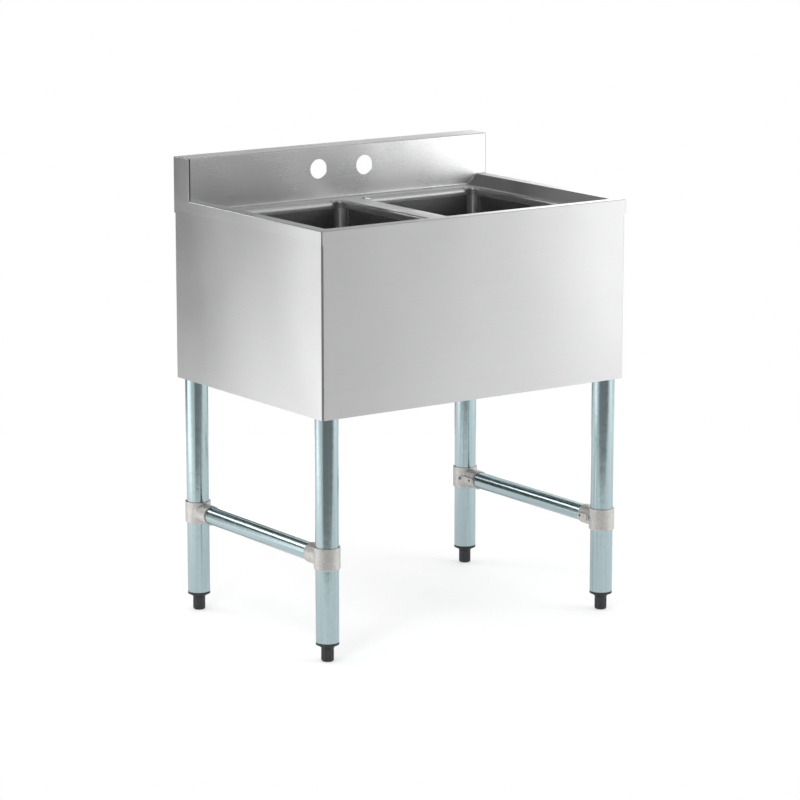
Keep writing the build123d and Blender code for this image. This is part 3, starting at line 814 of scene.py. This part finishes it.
finishes["foot_plastic"] = dull_stuff(
    "foot_plastic",
    colours=((0.030, 0.032, 0.035), (0.085, 0.088, 0.092)),
    dullness=(0.42, 0.58),
    grain_size=0.0006,
    relief=0.00008,
    patch_size=0.012,
)
finishes["black_rubber"] = dull_stuff(
    "black_rubber",
    colours=((0.018, 0.018, 0.019), (0.045, 0.045, 0.046)),
    dullness=(0.6, 0.8),
    grain_size=0.0005,
    relief=0.00006,
    patch_size=0.015,
)
finishes["fibre_washer"] = dull_stuff(
    "fibre_washer",
    colours=((0.33, 0.22, 0.14), (0.50, 0.37, 0.25)),
    dullness=(0.75, 0.92),
    grain_size=0.0008,
    relief=0.0001,
    patch_size=0.006,
)
print(len(finishes), "finishes")

# %% [markdown]
# ## Dress the solid pieces
#
# Each solid piece of the frame already has its shape. It only needs the finish of its slot, which
# the record names. The splash and the two braces have their own version of that finish.

# %% Dress the solid pieces
slot_of = {part["node"]: part["material_slot"] for part in frame["record"]["subparts"]}
own_finish = {"backsplash": splash_sheet, "left_brace": level_tube, "right_brace": level_tube}
for name, piece in nodes.items():
    finish = own_finish.get(name, finishes[slot_of[name]])
    piece.data.materials.clear()
    piece.data.materials.append(finish)
print(len(nodes), "pieces dressed")

# %% [markdown]
# ## Helpers for meshes and Geometry Nodes
#
# Pieces that repeat one shape along a path are made by node trees. A tree takes its sizes from
# named inputs. After the tree has run, the result is kept as a plain mesh, so the finished piece
# has no modifier left.

# %% Mesh helpers
def soften(piece, angle):
    """Smooth shading, with edges sharper than the angle in degrees kept crisp."""
    piece.data.shade_smooth()
    piece.data.set_sharp_from_angle(angle=math.radians(angle))


def turned_skin(profile, steps):
    """Points and faces of a closed skin from (radius, height) pairs. The ends close at a point."""
    points, faces, rows = [], [], []
    for radius, height in profile:
        if radius == 0.0:
            rows.append([len(points)])
            points.append((0.0, 0.0, height))
            continue
        rows.append(list(range(len(points), len(points) + steps)))
        points += circle(radius, height, steps)
    for low, high in zip(rows, rows[1:]):
        for step in range(steps):
            after = (step + 1) % steps
            if len(low) == 1:
                faces.append((low[0], high[after], high[step]))
            elif len(high) == 1:
                faces.append((low[step], low[after], high[0]))
            else:
                faces.append((low[step], low[after], high[after], high[step]))
    return points, faces


def quarter_round(steps):
    """Angles of a quarter circle, from nothing to a right angle."""
    return [math.pi / 2 * step / steps for step in range(steps + 1)]


# %% Geometry Nodes helpers
def geometry_tree(name, **sizes):
    """A tree with a geometry in and out, a material, and sizes given as kinds by name."""
    shape = {"Geometry": "Geometry"}
    sizes = {label.replace("_", " ").title(): form for label, form in sizes.items()}
    inputs = {**shape, **sizes, "Material": "Material"}
    return group_with(name, inputs, shape, "GeometryNodeTree")


def run_tree(piece, tree, **values):
    """Runs a tree on a piece with its own sizes, and keeps the result as a plain mesh."""
    modifier = piece.modifiers.new(tree.name, "NODES")
    modifier.node_group = tree
    for socket in tree.interface.items_tree:
        key = socket.name.lower().replace(" ", "_")
        if socket.in_out == "INPUT" and key in values:
            modifier[socket.identifier] = values[key]
    shape = piece.evaluated_get(bpy.context.evaluated_depsgraph_get())
    kept = bpy.data.meshes.new_from_object(shape)
    piece.modifiers.clear()
    piece.data = kept
    kept.name = piece.name


def sweep(tree, curve, profile, scale=1.0):
    """A round or pointed profile swept along a curve, closed at its ends."""
    inputs = [("Curve", curve), ("Profile Curve", profile), ("Scale", scale), ("Fill Caps", True)]
    return add(tree, "GeometryNodeCurveToMesh", inputs).outputs[0]


def shift(tree, shape, place):
    """The shape, moved to its place."""
    inputs = [("Geometry", shape), ("Translation", place)]
    return add(tree, "GeometryNodeTransform", inputs).outputs[0]


def finish_tree(tree, last, inlet, outlet):
    """Every tree ends the same way: real geometry with its material."""
    real = add(tree, "GeometryNodeRealizeInstances", [(0, last)]).outputs[0]
    inputs = [(0, real), ("Material", inlet.outputs["Material"])]
    send(tree, outlet, geometry=add(tree, "GeometryNodeSetMaterial", inputs).outputs[0])


print("mesh helpers ready")

# %% [markdown]
# ## Screw threads
#
# A thread is one ridge that winds round a rod. The levelling feet have one on their shanks, and
# the strainers have one on their outlets for the waste pipe. A spiral curve with a pointed
# profile swept along it gives exactly that, and one tree serves both sizes.

# %% Thread tree
thread_tree, inlet, outlet = geometry_tree(
    "screw_thread", radius="Float", depth="Float", pitch="Float", length="Float", place="Vector"
)
length, depth = inlet.outputs["Length"], inlet.outputs["Depth"]
turns = combine(thread_tree, "DIVIDE", length, inlet.outputs["Pitch"])
root = combine(thread_tree, "SUBTRACT", inlet.outputs["Radius"], depth)
spiral = add(
    thread_tree,
    "GeometryNodeCurveSpiral",
    [
        ("Resolution", 28),
        ("Rotations", turns),
        ("Start Radius", root),
        ("End Radius", root),
        ("Height", length),
    ],
)
tooth = add(
    thread_tree, "GeometryNodeCurvePrimitiveCircle", [("Resolution", 4), ("Radius", depth)]
)
ridge = sweep(thread_tree, spiral.outputs[0], tooth.outputs[0])
moved = shift(thread_tree, ridge, inlet.outputs["Place"])
joined = add(
    thread_tree, "GeometryNodeJoinGeometry", [(0, moved), (0, inlet.outputs["Geometry"])]
)
finish_tree(thread_tree, joined.outputs[0], inlet, outlet)
print("screw_thread has", len(thread_tree.nodes), "nodes")

# %% [markdown]
# ## Levelling feet
#
# Each leg ends in a black bullet foot: a short fluted stem with a rounded nose, on a threaded
# shank that screws up into the leg. The flutes are for fingers. The stem is a turned skin whose
# radius dips twelve times on the way round, and the thread comes from the tree above.

# %% Shape of a levelling foot
foot_radius = 0.0112
foot_top = 0.0252
nose_radius = 0.003
stem_low = 0.0048
stem_high = foot_top - 0.003
shoulder = 0.0006
flute_count = 12
flute_depth = 0.00105
flute_low = 0.0042
flute_high = foot_top - 0.0022
flute_end = 0.0022
shank_radius = 0.006
shank_chamfer = 0.001
thread_depth = 0.0007
thread_pitch = 0.002
thread_start = foot_top + 0.0014
thread_plain = 0.0035


def foot_profile(top_of_shank):
    """The outside of a foot, from the middle of its nose to the middle of its shank's top."""
    rounded = [
        (foot_radius - nose_radius + nose_radius * math.sin(turn),
         nose_radius - nose_radius * math.cos(turn))
        for turn in quarter_round(6)
    ]
    rows = 12
    stem_step = (stem_high - stem_low) / rows
    stem = [(foot_radius, stem_low + stem_step * row) for row in range(rows + 1)]
    shoulders = [(foot_radius, foot_top - shoulder), (foot_radius - shoulder, foot_top)]
    core = shank_radius - thread_depth
    shank = [
        (core, foot_top),
        (core, top_of_shank - shank_chamfer),
        (core - shank_chamfer, top_of_shank),
    ]
    return [(0.0, 0.0)] + rounded + stem + shoulders + shank + [(0.0, top_of_shank)]


def flute(turn, height):
    """How far the skin dips here: full between the rounded ends of the flutes, and else 0."""
    from_end = min(height - flute_low, flute_high - height) / flute_end
    fade = math.sin(min(max(from_end, 0.0), 1.0) * math.pi / 2)
    wave = 0.5 - 0.5 * math.cos(flute_count * turn)
    return flute_depth * fade * wave ** 0.8


print("foot of", 2 * foot_radius, "m across with", flute_count, "flutes")

# %% Levelling feet
for corner in ("front_left", "front_right", "rear_left", "rear_right"):
    node = corner + "_levelling_foot"
    low, high, middle = box_of(node)
    points, faces = turned_skin(foot_profile(high.z), flute_count * 8)
    placed = []
    for x, y, z in points:
        shrink = 1 - flute(math.atan2(y, x), z) / foot_radius
        placed.append((x * shrink + middle.x, y * shrink + middle.y, z))
    foot = piece_from(corner + "_bullet_foot", placed, faces)
    run_tree(
        foot,
        thread_tree,
        radius=shank_radius,
        depth=thread_depth,
        pitch=thread_pitch,
        length=high.z - foot_top - thread_plain,
        place=(middle.x, middle.y, thread_start),
        material=finishes["foot_plastic"],
    )
    soften(foot, 40)
    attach(foot, corner + "_foot")
    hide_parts(node)
print("4 feet of", len(foot.data.polygons), "faces")

# %% [markdown]
# ## Outlet threads
#
# The pipe nut of the waste screws on below each strainer, so its outlet carries a coarse thread.

# %% Outlet threads
outlet_thread_rise = 0.0015
for side in ("left", "right"):
    low, high, middle = box_of(side + "_strainer_body")
    thread = piece_from(side + "_outlet_thread", [])
    run_tree(
        thread,
        thread_tree,
        radius=0.0243,
        depth=0.0008,
        pitch=0.0022,
        length=0.0160,
        place=(middle.x, middle.y, low.z + outlet_thread_rise),
        material=finishes["strainer_steel"],
    )
    soften(thread, 40)
    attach(thread, "sink")
print("2 threads of", len(thread.data.polygons), "faces")

# %% [markdown]
# ## Perforated baskets
#
# A lift-out basket hangs in each drain and catches scraps. It is a thin pressed cup, pierced all
# round and through its floor. The cup is a turned skin with a real wall. The holes repeat, so a
# tree sets out rows of pins, every other row half a step round, and cuts them all away at once.

# %% Hole tree
hole_tree, inlet, outlet = geometry_tree(
    "pierced_cup",
    hole="Float", around="Int", place="Vector",
    wall_rows="Int", wall_radius="Float", wall_start="Float", wall_step="Float",
    floor_rows="Int", floor_radius="Float", floor_step="Float",
)
sizes = inlet.outputs
pin_length = 0.008
pin_sides = 14


def reckon(operation, *values):
    """Math inside the hole tree."""
    return combine(hole_tree, operation, *values)


def pin_rows(rows, first_radius, radius_step, first_height, height_step, upright):
    """Rows of pins: each row may be wider or higher than the last, and starts half a step on."""
    total = reckon("MULTIPLY", rows, sizes["Around"])
    pins = add(hole_tree, "GeometryNodePoints", [("Count", total)]).outputs[0]
    number = add(hole_tree, "GeometryNodeInputIndex").outputs[0]
    row = reckon("FLOOR", reckon("DIVIDE", number, sizes["Around"]))
    shifted = reckon("ADD", number, reckon("MULTIPLY", row, 0.5))
    turn = reckon("MULTIPLY", reckon("DIVIDE", shifted, sizes["Around"]), 2 * math.pi)
    radius = reckon("ADD", first_radius, reckon("MULTIPLY", row, radius_step))
    height = reckon("ADD", first_height, reckon("MULTIPLY", row, height_step))
    x = reckon("MULTIPLY", radius, reckon("COSINE", turn))
    y = reckon("MULTIPLY", radius, reckon("SINE", turn))
    spot = add(hole_tree, "ShaderNodeCombineXYZ", [(0, x), (1, y), (2, height)]).outputs[0]
    set_out = add(hole_tree, "GeometryNodeSetPosition", [("Geometry", pins), ("Position", spot)])
    pin = add(
        hole_tree,
        "GeometryNodeMeshCylinder",
        [
            ("Vertices", pin_sides),
            ("Radius", reckon("MULTIPLY", sizes["Hole"], 0.5)),
            ("Depth", pin_length),
        ],
    )
    placed = add(
        hole_tree,
        "GeometryNodeInstanceOnPoints",
        [("Points", set_out.outputs[0]), ("Instance", pin.outputs["Mesh"])],
    )
    if not upright:
        outwards = add(hole_tree, "ShaderNodeCombineXYZ", [(0, x), (1, y)]).outputs[0]
        aim = add(
            hole_tree, "FunctionNodeAlignRotationToVector", [("Vector", outwards)], axis="Z"
        )
        feed(hole_tree, placed.inputs["Rotation"], aim.outputs[0])
    return add(hole_tree, "GeometryNodeRealizeInstances", [(0, placed.outputs[0])]).outputs[0]


wall_pins = pin_rows(
    sizes["Wall Rows"], sizes["Wall Radius"], 0.0, sizes["Wall Start"], sizes["Wall Step"], False
)
floor_pins = pin_rows(
    sizes["Floor Rows"], sizes["Floor Radius"], sizes["Floor Step"], 0.0, 0.0, True
)
cut = add(
    hole_tree,
    "GeometryNodeMeshBoolean",
    [("Mesh 1", sizes["Geometry"]), ("Mesh 2", wall_pins), ("Mesh 2", floor_pins)],
    operation="DIFFERENCE",
    solver="EXACT",
)
moved = shift(hole_tree, cut.outputs[0], sizes["Place"])
finish_tree(hole_tree, moved, inlet, outlet)
print("pierced_cup has", len(hole_tree.nodes), "nodes")

# %% Shape of a basket
cup_height = 0.034
cup_radius = 0.03705
cup_lip = 0.0425
cup_sheet = 0.0008
cup_corner = 0.006
cup_neck = 0.028
cup_flare = 0.0022


def cup_profile():
    """The cup's outside from the middle of the floor to the rim, then its inside back again."""
    outer_bend = [
        (cup_radius - cup_corner * (1 - math.sin(turn)), cup_corner * (1 - math.cos(turn)))
        for turn in quarter_round(5)
    ]
    small = cup_corner - cup_sheet
    inner_bend = [
        (cup_radius - cup_corner + small * math.cos(turn), cup_corner - small * math.sin(turn))
        for turn in quarter_round(5)
    ]
    neck = [(cup_radius, cup_neck - 0.003), (cup_radius + cup_flare, cup_neck)]
    rim = [(cup_lip, cup_height - 0.0006), (cup_lip, cup_height), (cup_lip - 0.001, cup_height)]
    back_down = [
        (cup_radius + cup_flare - cup_sheet, cup_neck + 0.0004),
        (cup_radius - cup_sheet, cup_neck - 0.0024),
    ]
    return [(0.0, 0.0)] + outer_bend + neck + rim + back_down + inner_bend + [(0.0, cup_sheet)]


print("cup of", cup_height, "m with", len(cup_profile()), "points in its profile")

# %% Baskets
for side in ("left", "right"):
    node = side + "_basket_cup"
    low, high, middle = box_of(node)
    points, faces = turned_skin(cup_profile(), 96)
    cup = piece_from(side + "_pierced_basket", points, faces)
    run_tree(
        cup,
        hole_tree,
        hole=0.0038,
        around=20,
        wall_rows=3,
        wall_radius=cup_radius,
        wall_start=0.0092,
        wall_step=0.0062,
        floor_rows=3,
        floor_radius=0.0132,
        floor_step=0.0068,
        place=(middle.x, middle.y, low.z),
        material=finishes["strainer_steel"],
    )
    soften(cup, 35)
    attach(cup, side + "_basket")
    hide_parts(node)
print("2 baskets of", len(cup.data.polygons), "faces")

# %% [markdown]
# ## Weld beads
#
# The splash and its end plates are welded to the rim, and on the real sink a short rippled bead
# shows at each end where the two sheets meet. A bead follows its joint, so a tree sweeps a small
# round profile along the line, and a ripple in its thickness gives the scales of the weld.

# %% Weld tree
weld_tree, inlet, outlet = geometry_tree("weld_bead", thickness="Float", ripple="Float")
bead_step = 0.0004
thinnest, scale_share, wobble_share = 0.62, 0.28, 0.35
path = add(weld_tree, "GeometryNodeMeshToCurve", [(0, inlet.outputs["Geometry"])]).outputs[0]
fine_path = add(
    weld_tree,
    "GeometryNodeResampleCurve",
    [("Curve", path), ("Length", bead_step)],
    mode="LENGTH",
)
travelled = add(weld_tree, "GeometryNodeSplineParameter").outputs["Length"]
phase = combine(weld_tree, "DIVIDE", travelled, inlet.outputs["Ripple"])
scales = combine(weld_tree, "POWER", combine(weld_tree, "FRACT", phase), 0.5)
where = add(weld_tree, "GeometryNodeInputPosition").outputs[0]
wobble = noise(weld_tree, where, 420.0, 2.0)
swing = weigh(weld_tree, (scales, scale_share), (1.0, thinnest), (wobble, wobble_share))
width = combine(weld_tree, "MULTIPLY", swing, inlet.outputs["Thickness"])
ring = add(
    weld_tree, "GeometryNodeCurvePrimitiveCircle", [("Resolution", 10), ("Radius", 1.0)]
)
bead = sweep(weld_tree, fine_path.outputs[0], ring.outputs[0], width)
finish_tree(weld_tree, bead, inlet, outlet)
print("weld_bead has", len(weld_tree.nodes), "nodes")

# %% Beads at the ends of the splash
plate_edge = 0.3288
rim_edge = 0.3085
slope_foot = 0.2865
splash_front = 0.1873
bead_sink = 0.0005
points, edges = [], []
for side in (-1, 1):
    start = len(points)
    points += [
        (side * plate_edge, splash_front, rim_top - bead_sink),
        (side * rim_edge, splash_front, rim_top - bead_sink),
        (side * slope_foot, splash_front, deck_top + 0.0004),
    ]
    edges += [(start, start + 1), (start + 1, start + 2)]
beads = piece_from("splash_weld_beads", points, (), edges)
run_tree(beads, weld_tree, thickness=0.0015, ripple=0.0019, material=finishes["stainless_sheet"])
soften(beads, 60)
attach(beads, "sink")
print("beads of", len(beads.data.polygons), "faces")

# %% [markdown]
# ## Spot on the deck
#
# Between the bowls, just in front of the splash, the deck has one small round mark with a raised
# edge, where it is spot welded to the stiffener below. It is a turned skin like the feet, only a
# few millimetres across, and dark in the middle.

# %% Spot on the deck
spot_place = Vector((0.0215, 0.147, deck_top - 0.0002))
dark_middle_radius = 0.0030
spot_profile = [
    (0.0036, 0.0),
    (0.0034, 0.0007),
    (0.0028, 0.0011),
    (0.0022, 0.0010),
    (0.0019, 0.0016),
    (0.0010, 0.0022),
    (0.0, 0.0024),
]
points, faces = turned_skin(spot_profile, 28)
spot = piece_from("deck_spot_weld", [tuple(Vector(point) + spot_place) for point in points], faces)
spot.data.materials.append(finishes["stainless_sheet"])
spot.data.materials.append(finishes["black_rubber"])
# Faces near the middle of the spot take the black finish, so the middle is dark.
for face in spot.data.polygons:
    face.material_index = int((face.center - spot_place).xy.length < dark_middle_radius)
soften(spot, 50)
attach(spot, "sink")
print("spot of", len(spot.data.polygons), "faces")
